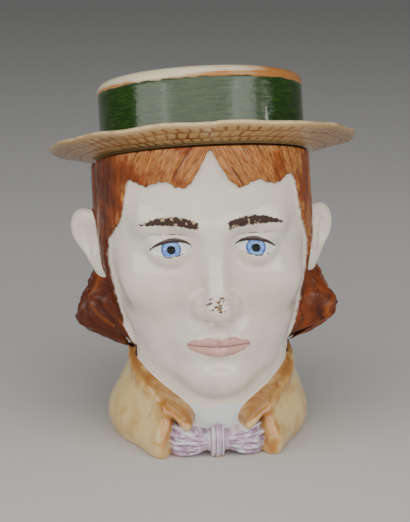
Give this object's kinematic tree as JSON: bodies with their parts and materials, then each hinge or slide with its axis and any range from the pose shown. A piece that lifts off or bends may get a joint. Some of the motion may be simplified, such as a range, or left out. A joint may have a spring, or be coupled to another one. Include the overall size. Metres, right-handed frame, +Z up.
{
  "type": "tobacco jar",
  "caption": "Painted earthenware tobacco jar: a head that is the jar, on a coat collar with bow tie, under a straw boater that is the lid.",
  "frame": {"origin": "middle of the flat underside, on the surface that the jar stands on", "axes": "+Z up from the underside to the crown of the hat, -Y the way the face looks, +X to the viewer's right when the face is seen from the front"},
  "size_m": [0.1689, 0.1597, 0.2133],
  "materials": {
    "jar_glaze": "gloss",
    "lid_glaze": "gloss"
  },
  "bodies": {
    "root": {"head_jar": "jar_glaze", "hat_lid": "lid_glaze"}
  },
  "joints": []
}
